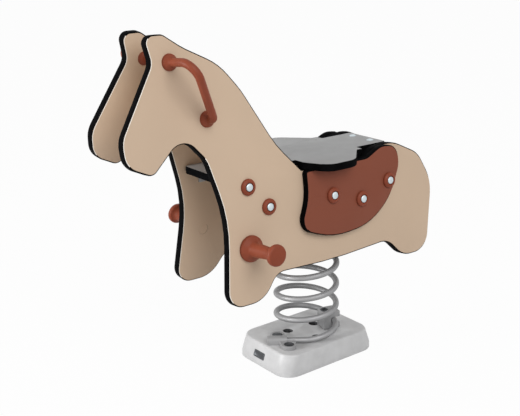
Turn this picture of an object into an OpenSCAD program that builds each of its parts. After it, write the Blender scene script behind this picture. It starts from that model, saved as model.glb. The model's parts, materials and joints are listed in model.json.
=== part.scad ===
// Spring rider: two horse-shaped side panels with a flat seat, carried on one coil spring.
// Millimetres, +Z up, the horse faces -X, origin on the ground under the spring's axis.

/* [Side panels] */
// Thickness of the side panels
panel_t = 22; // [18:1:25]
// Half distance between the panels' outer faces at ground level
panel_foot_y = 152; // [150:1:158]
// Lean of each panel towards the other, in degrees
panel_splay = 5.9; // [5.4:0.1:6.1]
// Foremost point of the nose, before rounding
nose_x = -588; // [-608:1:-573]
// Top of the head, along the panel
head_top = 922; // [907:0.5:937]
// Corner of the chin, along the panel, before rounding
chin_z = 614.5; // [600:0.5:626]
// Lower edge of the legs, along the panel
leg_z = 256; // [250:1:264]
// Lower edge of the belly, along the panel
belly_z = 315; // [308:1:321]
// Rearmost point of the rump, before rounding
rump_x = 369.5; // [362:0.5:388]
// Crest of the rump behind the seat, along the panel
crest_z = 584; // [581:0.5:592]

/* [Seat and saddle flaps] */
// Height of the seat's upper face above the ground
seat_z = 575; // [572:1:578]
// Thickness of the seat board and of the saddle flaps
board_t = 19; // [17:1:21]
// Half width of the seat across its wings
seat_wing = 161; // [150:1:175]
// Half width of the seat where it lies on the panels behind its wings
seat_step = 91; // [86:0.5:94]
// Rear end of the seat where it lies on the panels
seat_end_x = 116; // [112:1:118]
// Half width of the seat's tail and tongue, between the panels
seat_tail = 69; // [62:0.5:69]
// Rear end of the seat's tail
seat_rear_x = 222; // [216:1:228]
// Front end of the seat's tongue
seat_front_x = -336; // [-342:1:-326]
// Place of the rear seat bolts along X
seat_bolt_x = 197; // [194:1:200]
// Half distance between the seat bolts of a pair
seat_bolt_y = 34; // [26:1:40]

/* [Handles] */
// Diameter of the handle's bar
handle_d = 19.5; // [17:0.5:22]
// Corner of the handle's upper bend above the panel, before rounding
handle_reach = 101; // [90:1:110]
// Corner of the handle's lower bend above the panel, before rounding
handle_low = 28; // [26:1:34]
// Diameter of the handle's foot
handle_foot_d = 39; // [34:1:44]
// Height of the handle's domed foot
handle_foot_h = 14; // [11:0.5:16]

/* [Foot pegs] */
// Length of a foot peg from the panel
peg_l = 109; // [98:1:120]
// Diameter of the foot peg's shaft
peg_d = 29; // [25:1:34]
// Diameter of the foot peg's foot
peg_foot_d = 66; // [60:1:70]
// Diameter of the foot peg's end knob
peg_knob_d = 53; // [46:1:58]

/* [Spring] */
// Outer diameter of the coil
spring_od = 180; // [174:1:182]
// Diameter of the spring wire
wire_d = 16; // [14:0.5:17]
// Rise of the coil in one turn
spring_pitch = 60; // [56:1:62]
// Straight lower end of the wire
lower_tail = 105; // [96:1:106]
// Straight upper end of the wire
upper_tail = 44; // [40:1:46]

/* [Base] */
// Length of the base on the ground
base_l = 326; // [318:1:346]
// Width of the base on the ground
base_w = 222; // [214:1:240]
// Height of the base
base_h = 59; // [52:1:64]
// Inset of the base's upper outline at its ends
base_end_inset = 13; // [8:1:16]
// Inset of the base's upper outline at its sides
base_side_inset = 4; // [2:1:8]
// Corner radius of the base on the ground
base_corner = 46; // [40:1:50]
// Corner radius of the base at its top
base_top_corner = 44; // [38:1:48]
// Radius of the base's upper edge
base_edge = 6; // [4:0.5:10]
// Height of the base's upright foot
base_foot = 15; // [8:1:20]
// Wall of the base casting
base_wall = 10; // [8:1:12]
// Thickness of the base casting's top
base_top_t = 20; // [18:1:24]
// Diameter of the circle through the anchor holes
anchor_pcd = 101; // [96:1:104]
// Diameter of the anchor holes
anchor_hole_d = 18; // [14:0.5:18]
// Diameter of the sinking for an anchor's nut
anchor_sink_d = 28; // [26:0.5:30]
// Depth of the sinking for an anchor's nut
anchor_sink = 26; // [20:1:30]

/* [Steelwork] */
// Thickness of the brackets and cleats
steel_t = 6; // [5:0.5:8]
// Thickness of the spring's top plate
plate_t = 9; // [8:0.5:12]
// Length of the spring's top plate
plate_l = 204; // [196:1:210]
// Middle of the spring's top plate behind the spring's axis
plate_shift = 20; // [18:1:24]
// Width of the spring's top plate
plate_w = 174; // [168:1:176]
// Metal over the wire in an end clamp
clamp_cover = 5; // [4:0.5:7]
// Height of the lower end clamp's ears
clamp_ear = 11; // [10:0.5:13]
// Metal over the wire in a side clamp
side_cover = 15; // [12:0.5:18]

/* [Fasteners] */
// Diameter of the bolts through the panels
bolt_d = 10; // [8:0.5:11]
// Diameter of the silver bolt heads
bolt_head_d = 21; // [19:0.5:23]
// Height of the silver bolt heads
bolt_head_h = 6.5; // [5:0.5:8]
// Diameter of the bolt collars
collar_d = 41; // [37:1:44]
// Height of the bolt collars
collar_h = 9; // [7:0.5:11]
// Diameter of the seat bolts and of the bracket bolts
small_bolt_d = 8; // [6:0.5:9]
// Diameter of the foot pegs' bolts and of the clamp bolts
large_bolt_d = 12; // [10:0.5:13]
// Diameter of the ground plate's screws
screw_d = 6; // [5:0.5:7]
// Radial clearance of a bolt in a drilled hole
hole_gap = 0.5; // [0.3:0.1:0.8]
// Radial clearance of a bolt in its threaded hole
thread_gap = 0.15; // [0.1:0.05:0.3]
// Gap between the seat and the panels and flaps below it
rest_gap = 0.3; // [0.2:0.1:0.6]
// Clearance of the wire in its clamps
wire_gap = 0.4; // [0.3:0.05:0.6]

/* [Hidden] */
$fn = 48;
big = 2000;
cut = 1;
arc_step = 7.5;

tan_colour = [0.80, 0.70, 0.60];
brick_colour = [0.59, 0.31, 0.24];
grey_colour = [0.61, 0.61, 0.61];
light_grey = [0.75, 0.75, 0.75];
black_colour = [0.07, 0.07, 0.07];
silver_colour = [0.85, 0.85, 0.86];
dark_steel = [0.35, 0.36, 0.38];

// Corners of an outline are [x, y, fillet radius]; a fillet is limited by its shorter side.
function unit(v) = v / norm(v);
function xy(p) = [p[0], p[1]];
function fillet(a, b, c) =
    let (da = unit(xy(a) - xy(b)), dc = unit(xy(c) - xy(b)))
    let (half = acos(da * dc) / 2)
    let (room = 0.49 * min(norm(xy(a) - xy(b)), norm(xy(c) - xy(b))))
    let (t = min(b[2] / tan(half), room), r = t * tan(half))
    let (mid = xy(b) + unit(da + dc) * r / sin(half))
    let (from = xy(b) + da * t - mid, to = xy(b) + dc * t - mid)
    let (a0 = atan2(from[1], from[0]), turn = atan2(from[0] * to[1] - from[1] * to[0], from * to))
    let (n = max(1, ceil(abs(turn) / arc_step)))
    [for (i = [0:n]) mid + r * [cos(a0 + turn * i / n), sin(a0 + turn * i / n)]];
function rounded(p) = [
    for (i = [0:len(p) - 1])
        each p[i][2] == 0 ? [xy(p[i])]
            : fillet(p[(i + len(p) - 1) % len(p)], p[i], p[(i + 1) % len(p)])
];
function mirrored(p) = concat(p, [for (i = [len(p) - 1:-1:0]) [p[i][0], -p[i][1], p[i][2]]]);

// Heights along a leaning panel, half width between the panels' inner faces and to a leaf's middle
function along(z) = z / cos(panel_splay);
function inner_y(z) = panel_foot_y - z * tan(panel_splay) - panel_t / cos(panel_splay);
function leaf_y(z) = inner_y(z) - steel_t / 2;
// Point of the left panel's cross-section, up the panel and out of its face
function side_point(v, w) = [
    -panel_foot_y + v * sin(panel_splay) - w * cos(panel_splay), v * cos(panel_splay) + w * sin(panel_splay)
];

seat_under = seat_z - board_t;
dip_z = along(seat_under - rest_gap);
flap_top = dip_z - board_t * tan(panel_splay);

// Height on the head and neck, as a share of the way from the chin to the top of the head
function head_at(share) = chin_z + share * (head_top - chin_z);

// Side panel from the head round the nose, chest, legs, belly and rump to the seat and mane
panel_outline = [
    [nose_x + 79, head_top, 32],
    [nose_x + 93.5, head_at(0.798), 34],
    [nose_x, head_at(0.288), 60],
    [nose_x + 4, head_at(0.099), 45],
    [nose_x + 69, chin_z, 22],
    [nose_x + 154, head_at(0.255), 46],
    [-375, 628, 62],
    [-328, 478, 350],
    [-350, leg_z + 1, 42],
    [-241, leg_z - 1, 75],
    [-195, belly_z + 1, 45],
    [-10, belly_z - 8, 900],
    [187, belly_z, 60],
    [245, leg_z + 1, 75],
    [rump_x - 29.5, leg_z, 58],
    [rump_x, 450, 115],
    [rump_x - 49.5, crest_z - 48, 80],
    [rump_x - 151, crest_z, 150],
    [150, crest_z - 8, 60],
    [seat_end_x + 2, dip_z, 10],
    [-97, dip_z, 5],
    [-171, head_at(0.064), 300],
    [-262, head_at(0.532), 250],
    [-318, head_at(0.744), 170],
    [-412, head_at(0.894), 150],
    [nose_x + 127, head_top, 25]
];

// Saddle flap on the outside of a panel
flap_outline = [
    [-97, flap_top, 8],
    [-94.5, 486, 174],
    [-128, 411.5, 37.5],
    [-19.5, 370, 248],
    [108.5, 379.5, 178],
    [190, 438, 166],
    [229.5, crest_z - 58, 97],
    [216.5, crest_z - 9.5, 79],
    [162.5, crest_z - 3, 57.5],
    [110, flap_top, 40]
];

// Seat from above: tongue, wing and tail of one half
seat_half = [
    [seat_front_x, seat_tail, 10],
    [-94, seat_tail, 4],
    [-94, 97, 5],
    [-60, seat_wing, 45],
    [27.5, seat_wing, 50],
    [seat_end_x - 19, seat_step, 6],
    [seat_end_x, seat_step, 3],
    [seat_end_x, seat_tail, 4],
    [seat_rear_x, seat_tail, 8]
];

// Places on a panel, along X and up the panel
handle_top_at = [-450, head_at(0.798)];
handle_low_at = [-364.5, head_at(0.353)];
peg_at = [-272, 396];
chest_bolts = [[-265.5, 546], [-207.5, 487]];
spring_bolts = [[-14.5, 481], [84, 453]];
tail_bolt = [184, 484.5];
flap_bolts = concat(spring_bolts, [tail_bolt]);
handle_ends = [handle_top_at, handle_low_at];

nut_h = 9;
nut_d = 19;
thread_end = 3;
head_gap = 1.5;
collar_lip = 2;
collar_seat = collar_h - 4;
inner_stack = panel_t + steel_t;

// Handle bar: corners across the panel's face and out of it
handle_chord = norm(handle_low_at - handle_top_at);
handle_turn = atan2(handle_low_at[1] - handle_top_at[1], handle_low_at[0] - handle_top_at[0]);
handle_path = [[0, 0, 0], [0, handle_reach, 36], [handle_chord, handle_low, 18], [handle_chord, 0, 0]];
seam_w = 1;
seam_rise = 0.4;
handle_bolt_reach = 22;
handle_head_d = 14;
handle_head_h = 6;
handle_cap_d = 33;
handle_cap_h = 11;
peg_bolt_reach = 60;
peg_head_d = 20;
peg_head_h = 8;
peg_well = 12;
peg_plug_d = 28;
peg_plug_h = 3;
cap_gap = 1;

// Seat brackets between the panels: outline of the leaves, ends of the web along X
leaf_top = along(seat_under) + steel_t;
rear_leaf = [[166, 462], [214, 462], [214, leaf_top], [166, leaf_top]];
front_leaf = [[-292, 530], [-228, 530], [-228, 464], [-182, 464], [-182, leaf_top], [-292, leaf_top]];
rear_web = [166, 214];
front_web = [-248, -182];
front_bolt_x = (front_web[0] + front_web[1]) / 2;
seat_bolts_at = concat(
    [for (s = [-1, 1]) [seat_bolt_x, s * seat_bolt_y]],
    [for (s = [-1, 1]) [front_bolt_x, s * seat_bolt_y]]
);
seat_head_d = 22;
seat_head_h = 4.5;
seat_nut_h = 7;
seat_nut_d = 15;

// Spring wire: eight rings in a turn between two straight ends
rings_per_turn = 8;
wire_sides = 6;
spring_start = -37.6;
spring_steps = 37;
coil_r = spring_od / 2 - wire_d / 2;
ring_turn = 360 / rings_per_turn;
ring_rise = spring_pitch / rings_per_turn;
wire_lift = wire_d / 2 + wire_gap;
spring_low = base_h + wire_lift;
spring_high = spring_low + spring_steps * ring_rise;
plate_under = spring_high + wire_lift;
plate_top = plate_under + plate_t;

function around(a, r, z) = [r * sin(a), -r * cos(a), z];
function heading(a) = [cos(a), sin(a), 0];
upper_angle = spring_start + spring_steps * ring_turn;
wire_path = concat(
    [around(spring_start, coil_r, spring_low) - lower_tail * heading(spring_start)],
    [around(spring_start, coil_r, spring_low) - wire_d * heading(spring_start)],
    [for (k = [0:spring_steps])
        around(spring_start + k * ring_turn, coil_r, spring_low + k * ring_rise)],
    [around(upper_angle, coil_r, spring_high) + wire_d * heading(upper_angle)],
    [around(upper_angle, coil_r, spring_high) + upper_tail * heading(upper_angle)]
);
last = len(wire_path) - 1;
function ring_angle(i) = spring_start + min(max(i - 2, 0), spring_steps) * ring_turn;
function ring_along(i) = unit(wire_path[min(i + 1, last)] - wire_path[max(i - 1, 0)]);
function wire_ring(i) =
    let (along = ring_along(i), out = around(ring_angle(i), 1, 0))
    let (side = unit(out - (out * along) * along), up = cross(along, side))
    [for (k = [0:wire_sides - 1])
        wire_path[i] + wire_d / 2 * (cos(60 * k + 30) * side + sin(60 * k + 30) * up)];
wire_points = [for (i = [0:last]) each wire_ring(i)];
function wire_at(i, k) = i * wire_sides + k % wire_sides;
wire_faces = concat(
    [for (k = [1:wire_sides - 2]) [0, k, k + 1]],
    [for (i = [0:last - 1]) for (k = [0:wire_sides - 1])
        [wire_at(i, k), wire_at(i + 1, k), wire_at(i + 1, k + 1)]],
    [for (i = [0:last - 1]) for (k = [0:wire_sides - 1])
        [wire_at(i, k), wire_at(i + 1, k + 1), wire_at(i, k + 1)]],
    [for (k = [1:wire_sides - 2]) [wire_at(last, 0), wire_at(last, k + 1), wire_at(last, k)]]
);
gap_points = [for (i = [0:last - 1]) for (s = [0, 0.5]) wire_path[i] * (1 - s) + wire_path[i + 1] * s];
least_gap = min([
    for (i = [0:len(gap_points) - 1]) for (j = [i + rings_per_turn:1:len(gap_points) - 1])
        norm(gap_points[i] - gap_points[j])
]) - wire_d;
echo(least_gap_of_the_spring_to_itself = least_gap);

// Clamps: the end clamp holds a straight end, the side clamp holds the coil further on
saddle_r = wire_d / 2 + clamp_cover;
saddle_start = 56;
saddle_end = lower_tail + 4;
ear_r = 19;
lower_end_bolts = [[51, -saddle_r - 15.5], [80.5, saddle_r + 20]];
ear_low = lower_end_bolts[0];
ear_high = lower_end_bolts[1];
lower_end_plan = [
    [ear_low[0] - ear_r, -wire_d / 2 - 2, 1], [ear_low[0] - ear_r, ear_low[1] - ear_r, 16],
    [ear_low[0] + ear_r, ear_low[1] - ear_r, 16], [ear_low[0] + ear_r + 4, -saddle_r, 5],
    [saddle_end, -saddle_r, 4], [saddle_end, saddle_r, 4],
    [ear_high[0] + ear_r, saddle_r, 3], [ear_high[0] + ear_r, ear_high[1] + ear_r, 16],
    [ear_high[0] - ear_r, ear_high[1] + ear_r, 16], [ear_high[0] - ear_r, saddle_r, 3],
    [saddle_start, saddle_r, 1], [saddle_start, -wire_d / 2 - 2, 1]
];
upper_end_plan = [
    [4, -wire_d / 2 - 2.5, 2], [upper_tail + 6, -wire_d / 2 - 2.5, 2],
    [upper_tail + 6, 38, 8], [4, 38, 8]
];
upper_end_bolts = [[15, 24], [37, 24]];
end_clamp_h = wire_lift + wire_d / 2 + clamp_cover;
side_steps = 2.5;
side_rise = wire_lift + side_steps * ring_rise;
side_r = coil_r * cos(ring_turn / 2);
side_lean = atan2(ring_rise, 2 * coil_r * sin(ring_turn / 2));
side_bolt_r = side_r - wire_d / 2 - large_bolt_d / 2 - 6;
side_inner_r = side_bolt_r - large_bolt_d / 2 - 5;
side_outer_r = spring_od / 2 + 4;
side_half = 22;
side_clamp_h = side_rise + wire_d / 2 + side_cover;
clamp_thread = 8;
clamp_head_d = 19;
clamp_head_h = 9;
clamp_recess_d = 23;
ear_head_d = 26;
ear_head_h = 4.5;
ear_recess_d = 28;
ear_recess_h = 5;
side_head_d = 24;
side_head_h = 7;
anchor_turn = 25;
anchor_count = 3;
base_ledge = 6;
post_d = 18;
screw_head_d = 11;
screw_head_h = 3.5;
screw_grip = 16;

module left_side() {
    translate([0, -panel_foot_y, 0]) rotate([90 - panel_splay, 0, 0]) children();
}
module right_side() {
    mirror([0, 1, 0]) left_side() children();
}
module at(p, w = 0) {
    translate([p[0], p[1], w]) children();
}
module below(z) {
    intersection() {
        children();
        translate([-big / 2, -big / 2, z - big]) cube(big);
    }
}
module above(z) {
    intersection() {
        children();
        translate([-big / 2, -big / 2, z]) cube(big);
    }
}
module hole(d, from, to, gap) {
    translate([0, 0, from]) cylinder(h = to - from, d = d + 2 * gap);
}
module dome(d, h) {
    r = (d * d / 4 + h * h) / (2 * h);
    rotate_extrude() intersection() {
        translate([0, h - r]) circle(r = r);
        square([d, h]);
    }
}
module turned(corners) {
    rotate_extrude() polygon(rounded(corners));
}
module hex_nut(d, h, bore) {
    difference() {
        cylinder(h = h, d = d, $fn = 6);
        hole(bore, -cut, h + cut, thread_gap);
    }
}

// Side panels
module panel() {
    difference() {
        translate([0, 0, -panel_t]) linear_extrude(panel_t) polygon(rounded(panel_outline));
        for (p = concat(chest_bolts, flap_bolts))
            at(p) hole(bolt_d, -panel_t - cut, cut, hole_gap);
        for (p = handle_ends)
            at(p) hole(small_bolt_d, -panel_t - cut, cut, hole_gap);
        at(peg_at) {
            hole(large_bolt_d, -panel_t - cut, cut, hole_gap);
            hole(peg_head_d, -panel_t - cut, -panel_t + peg_well, head_gap);
            hole(peg_plug_d, -panel_t - cut, -panel_t + peg_plug_h, thread_gap);
        }
    }
}
module left_panel() color(tan_colour) left_side() panel();
module right_panel() color(tan_colour) right_side() panel();

// Saddle flaps
module flap() {
    difference() {
        linear_extrude(board_t) polygon(rounded(flap_outline));
        for (p = flap_bolts)
            at(p) hole(bolt_d, -cut, board_t + cut, hole_gap);
    }
}
module left_saddle_flap() color(brick_colour) left_side() flap();
module right_saddle_flap() color(brick_colour) right_side() flap();

// Seat
module seat_board() color(grey_colour) difference() {
    translate([0, 0, seat_under]) linear_extrude(board_t) polygon(rounded(mirrored(seat_half)));
    for (p = seat_bolts_at)
        at(p) hole(small_bolt_d, seat_under - cut, seat_z + cut, hole_gap);
}
module seat_bolts() color(silver_colour) for (p = seat_bolts_at) at(p, seat_z) {
    dome(seat_head_d, seat_head_h);
    translate([0, 0, -board_t - steel_t - seat_nut_h - thread_end])
        cylinder(h = board_t + steel_t + seat_nut_h + thread_end, d = small_bolt_d);
}
module seat_nuts() color(silver_colour)
    for (p = seat_bolts_at)
        at(p, seat_under - steel_t - seat_nut_h) hex_nut(seat_nut_d, seat_nut_h, small_bolt_d);

// Seat brackets: a leaf on each panel's inner face and a web under the seat
module bracket_leaf(plan, bolts) {
    difference() {
        translate([0, 0, -inner_stack]) linear_extrude(steel_t) polygon(plan);
        for (p = bolts)
            at(p) hole(bolt_d, -inner_stack - cut, -panel_t + cut, hole_gap);
    }
}
module seat_bracket(plan, web, bolts) {
    difference() {
        below(seat_under) {
            left_side() bracket_leaf(plan, bolts);
            right_side() bracket_leaf(plan, bolts);
            translate([web[0], -leaf_y(seat_under), seat_under - steel_t])
                cube([web[1] - web[0], 2 * leaf_y(seat_under), steel_t]);
        }
        for (p = seat_bolts_at)
            at(p) hole(small_bolt_d, seat_under - steel_t - cut, seat_under + cut, hole_gap);
    }
}
module rear_seat_bracket() color(dark_steel) seat_bracket(rear_leaf, rear_web, [tail_bolt]);
module front_seat_bracket() color(dark_steel) seat_bracket(front_leaf, front_web, chest_bolts);

// Bolts through the panels, with their collars and nuts
module collar() {
    rim = bolt_d / 2 + hole_gap;
    recess = bolt_head_d / 2 + head_gap;
    turned([
        [rim, 0, 0], [collar_d / 2, 0, 0], [collar_d / 2, collar_seat, 4],
        [recess + collar_lip + 1, collar_h, 3], [recess, collar_h, 0.8], [recess, collar_seat, 0], [rim, collar_seat, 0]
    ]);
}
module panel_bolt(outside) {
    reach = inner_stack + nut_h + thread_end;
    translate([0, 0, outside + collar_seat]) dome(bolt_head_d, bolt_head_h);
    translate([0, 0, -reach]) cylinder(h = reach + outside + collar_seat, d = bolt_d);
}
module bolt_collars() {
    for (p = chest_bolts) at(p) collar();
    for (p = flap_bolts) at(p, board_t) collar();
}
module panel_bolts() {
    for (p = chest_bolts) at(p) panel_bolt(0);
    for (p = flap_bolts) at(p) panel_bolt(board_t);
}
module panel_nuts() {
    for (p = concat(chest_bolts, flap_bolts)) at(p, -inner_stack - nut_h) hex_nut(nut_d, nut_h, bolt_d);
}
module left_bolt_collars() color(brick_colour) left_side() bolt_collars();
module right_bolt_collars() color(brick_colour) right_side() bolt_collars();
module left_panel_bolts() color(silver_colour) left_side() panel_bolts();
module right_panel_bolts() color(silver_colour) right_side() panel_bolts();
module left_panel_nuts() color(silver_colour) left_side() panel_nuts();
module right_panel_nuts() color(silver_colour) right_side() panel_nuts();

// Handles and foot pegs, with the bolts that hold them from inside, the caps and the plugs over these
module bar_seam(d) {
    rotate([90, 0, 0]) cylinder(h = seam_w, d = d + seam_rise, center = true);
}
module bent_bar(p, d) {
    f = [for (i = [1:len(p) - 2]) fillet(p[i - 1], p[i], p[i + 1])];
    ends = concat([[xy(p[0]), xy(p[0])]], [for (c = f) [c[0], c[len(c) - 1]]], [[xy(p[len(p) - 1])]]);
    for (i = [0:len(ends) - 2]) {
        from = ends[i][len(ends[i]) - 1];
        leg = ends[i + 1][0] - from;
        translate(from) rotate([0, 0, atan2(leg[1], leg[0])]) rotate([0, 90, 0]) cylinder(h = norm(leg), d = d);
    }
    for (i = [1:len(p) - 2]) {
        da = unit(xy(p[i - 1]) - xy(p[i]));
        dc = unit(xy(p[i + 1]) - xy(p[i]));
        half = acos(da * dc) / 2;
        r = norm(f[i - 1][0] - xy(p[i])) * tan(half);
        mid = xy(p[i]) + unit(da + dc) * r / sin(half);
        last_arm = f[i - 1][len(f[i - 1]) - 1] - mid;
        translate(mid) rotate([0, 0, atan2(last_arm[1], last_arm[0])]) {
            rotate_extrude(angle = 180 - 2 * half) translate([r, 0]) circle(d = d);
            translate([r, 0, 0]) bar_seam(d);
            rotate([0, 0, 180 - 2 * half]) translate([r, 0, 0]) bar_seam(d);
        }
    }
}
module handle() {
    difference() {
        union() {
            at(handle_top_at) rotate([0, 0, handle_turn]) rotate([90, 0, 0]) bent_bar(handle_path, handle_d);
            for (p = handle_ends) at(p) dome(handle_foot_d, handle_foot_h);
        }
        for (p = handle_ends) at(p) hole(small_bolt_d, -cut, handle_bolt_reach, thread_gap);
    }
}
module foot_peg() {
    foot = peg_foot_d / 2;
    shaft = peg_d / 2;
    knob = peg_knob_d / 2;
    at(peg_at) difference() {
        turned([
            [0, 0, 0], [foot, 0, 0], [foot, 8, 5], [shaft + 4, 19, 8], [shaft, peg_l - 22, 14],
            [knob, peg_l - 14, 6], [knob, peg_l - 2, 6], [0, peg_l, 0]
        ]);
        hole(large_bolt_d, -cut, peg_bolt_reach, thread_gap);
    }
}
module inside_bolt(d, head_d, head_h, reach, seat) {
    translate([0, 0, seat - head_h]) cylinder(h = head_h, d = head_d);
    translate([0, 0, seat]) cylinder(h = reach - cut - seat, d = d);
}
module inside_cap(d, h, head_d, head_h) {
    translate([0, 0, -panel_t]) mirror([0, 0, 1]) difference() {
        dome(d, h);
        hole(head_d, -cut, head_h + cap_gap, cap_gap);
    }
}
module left_handle() color(brick_colour) left_side() handle();
module right_handle() color(brick_colour) right_side() handle();
module left_foot_peg() color(brick_colour) left_side() foot_peg();
module right_foot_peg() color(brick_colour) right_side() foot_peg();
module handle_fixings() {
    for (p = handle_ends)
        at(p) inside_bolt(small_bolt_d, handle_head_d, handle_head_h, handle_bolt_reach, -panel_t);
}
module handle_covers() {
    for (p = handle_ends) at(p) inside_cap(handle_cap_d, handle_cap_h, handle_head_d, handle_head_h);
}
module handle_bolts() color(silver_colour) {
    left_side() handle_fixings();
    right_side() handle_fixings();
}
module handle_bolt_caps() color(brick_colour) {
    left_side() handle_covers();
    right_side() handle_covers();
}
module peg_fixing() {
    at(peg_at) inside_bolt(large_bolt_d, peg_head_d, peg_head_h, peg_bolt_reach, -panel_t + peg_well);
}
module peg_plug() {
    at(peg_at, -panel_t) cylinder(h = peg_plug_h, d = peg_plug_d);
}
module peg_bolts() color(silver_colour) {
    left_side() peg_fixing();
    right_side() peg_fixing();
}
module peg_bolt_plugs() color(tan_colour) {
    left_side() peg_plug();
    right_side() peg_plug();
}

// Spring
module spring() color(light_grey) polyhedron(points = wire_points, faces = wire_faces);

// Places of the clamps at the spring's lower and upper end: along the wire, inwards and off the seat
module lower_end() {
    p = around(spring_start, coil_r, base_h);
    translate(p) rotate([0, 0, spring_start + 180]) mirror([0, 1, 0]) children();
}
module upper_end() {
    p = around(upper_angle, coil_r, plate_under);
    translate(p) rotate([0, 0, upper_angle]) mirror([0, 0, 1]) children();
}
module lower_side_place() {
    rotate([0, 0, spring_start - 90 + side_steps * ring_turn]) translate([0, 0, base_h]) children();
}
module upper_side_place() {
    rotate([0, 0, upper_angle - 90 - side_steps * ring_turn]) translate([0, 0, plate_under]) rotate([180, 0, 0])
        children();
}
module end_clamp(plan, bolts, tail) {
    r = wire_d / 2 + wire_gap / 2;
    difference() {
        linear_extrude(end_clamp_h) polygon(rounded(plan));
        translate([0, 0, wire_lift]) rotate([0, 90, 0]) cylinder(h = tail + wire_gap, r = r);
        translate([0, -r, -cut]) cube([tail + wire_gap, 2 * r, wire_lift + cut]);
        for (p = bolts) at(p) {
            hole(bolt_d, -cut, end_clamp_h + cut, hole_gap);
            translate([0, 0, end_clamp_h - clamp_head_h - clamp_cover / 2]) cylinder(h = end_clamp_h, d = clamp_recess_d);
        }
    }
}
module side_clamp() {
    r = wire_d / 2 + wire_gap;
    difference() {
        translate([side_inner_r, -side_half, 0]) cube([side_outer_r - side_inner_r, 2 * side_half, side_clamp_h]);
        translate([side_r, 0, side_rise]) rotate([side_lean, 0, 0]) {
            translate([0, big / 2, 0]) rotate([90, 0, 0]) cylinder(h = big, r = r);
            translate([0, -big / 2, -r]) cube([big, big, 2 * r]);
        }
        at([side_bolt_r, 0]) hole(large_bolt_d, -cut, side_clamp_h + cut, hole_gap);
    }
}
module saddle_clamp() {
    r = wire_d / 2 + wire_gap / 2;
    difference() {
        union() {
            linear_extrude(clamp_ear) polygon(rounded(lower_end_plan));
            translate([saddle_start, 0, wire_lift]) rotate([0, 90, 0])
                cylinder(h = saddle_end - saddle_start, r = saddle_r, $fn = 32);
        }
        translate([0, 0, wire_lift]) rotate([0, 90, 0]) cylinder(h = lower_tail + wire_gap, r = r);
        translate([0, -r, -cut]) cube([lower_tail + wire_gap, 2 * r, wire_lift + cut]);
        translate([0, -saddle_r, -saddle_r]) cube([saddle_end + cut, 2 * saddle_r, saddle_r]);
        for (p = lower_end_bolts) at(p) {
            hole(bolt_d, -cut, clamp_ear + cut, hole_gap);
            translate([0, 0, clamp_ear - ear_recess_h]) cylinder(h = clamp_ear, d = ear_recess_d);
        }
    }
}
module end_bolts(bolts, seat, head_d, head_h) {
    for (p = bolts) at(p) {
        translate([0, 0, seat]) cylinder(h = head_h, d = head_d);
        translate([0, 0, -clamp_thread + cut]) cylinder(h = seat + clamp_thread - cut, d = bolt_d);
    }
}
module side_bolt() {
    at([side_bolt_r, 0]) {
        translate([0, 0, side_clamp_h]) dome(side_head_d, side_head_h);
        translate([0, 0, -clamp_thread + cut]) cylinder(h = side_clamp_h + clamp_thread - cut, d = large_bolt_d);
    }
}
module end_threads(bolts) {
    for (p = bolts) at(p) hole(bolt_d, -clamp_thread, cut, thread_gap);
}
module side_thread() {
    at([side_bolt_r, 0]) hole(large_bolt_d, -clamp_thread, cut, thread_gap);
}
module lower_end_clamp() color(light_grey) lower_end() saddle_clamp();
module upper_end_clamp() color(light_grey) upper_end() end_clamp(upper_end_plan, upper_end_bolts, upper_tail);
module lower_side_clamp() color(light_grey) lower_side_place() side_clamp();
module upper_side_clamp() color(light_grey) upper_side_place() side_clamp();
module lower_clamp_bolts() color(dark_steel) {
    lower_end() end_bolts(lower_end_bolts, clamp_ear - ear_recess_h, ear_head_d, ear_head_h);
    lower_side_place() side_bolt();
}
module upper_clamp_bolts() color(dark_steel) {
    upper_end()
        end_bolts(upper_end_bolts, end_clamp_h - clamp_head_h - clamp_cover / 2, clamp_head_d, clamp_head_h);
    upper_side_place() side_bolt();
}

// Base casting, hollow from below, with a column round each anchor hole
module base_corners(l, w, r) {
    for (x = [-1, 1]) for (y = [-1, 1]) translate([x * (l / 2 - r), y * (w / 2 - r), 0]) children();
}
module anchor_places() {
    for (i = [1:anchor_count])
        rotate([0, 0, anchor_turn + 360 * i / anchor_count]) translate([anchor_pcd / 2, 0, 0]) children();
}
module base_block() {
    hull() {
        base_corners(base_l, base_w, base_corner) cylinder(h = base_foot, r = base_corner, $fn = 32);
        base_corners(base_l - 2 * base_end_inset, base_w - 2 * base_side_inset, base_top_corner)
            translate([0, 0, base_h - base_edge]) rotate_extrude($fn = 32) {
                translate([base_top_corner - base_edge, 0]) intersection() {
                    circle(r = base_edge, $fn = 32);
                    square(base_edge);
                }
                square([base_top_corner - base_edge, base_edge]);
            }
    }
}
module base_plan(ledge) {
    l = base_l / 2 - base_end_inset - base_wall + ledge;
    w = base_w / 2 - base_side_inset - base_wall + ledge;
    r = base_top_corner - base_wall + ledge;
    polygon(rounded([[-l, -w, r], [l, -w, r], [l, w, r], [-l, w, r]]));
}
module plate_screw_places() {
    l = base_l - 2 * base_end_inset - 2 * base_wall;
    w = base_w - 2 * base_side_inset - 2 * base_wall;
    base_corners(l, w, post_d / 2 + 4) children();
}
module base_casting() color(light_grey) difference() {
    union() {
        difference() {
            base_block();
            translate([0, 0, steel_t]) linear_extrude(base_h - base_top_t - steel_t) base_plan(0);
            translate([0, 0, -cut]) linear_extrude(steel_t + cut) base_plan(base_ledge);
        }
        anchor_places() translate([0, 0, steel_t])
            cylinder(h = base_h - base_top_t, d = anchor_hole_d + 2 * base_wall);
        plate_screw_places() translate([0, 0, steel_t]) cylinder(h = base_h - base_top_t, d = post_d);
    }
    anchor_places() {
        translate([0, 0, -cut]) cylinder(h = base_h + 2 * cut, d = anchor_hole_d);
        translate([0, 0, base_h - anchor_sink]) cylinder(h = base_h, d = anchor_sink_d);
    }
    plate_screw_places() hole(screw_d, steel_t - cut, steel_t + screw_grip, thread_gap);
    lower_end() end_threads(lower_end_bolts);
    lower_side_place() side_thread();
}

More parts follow.
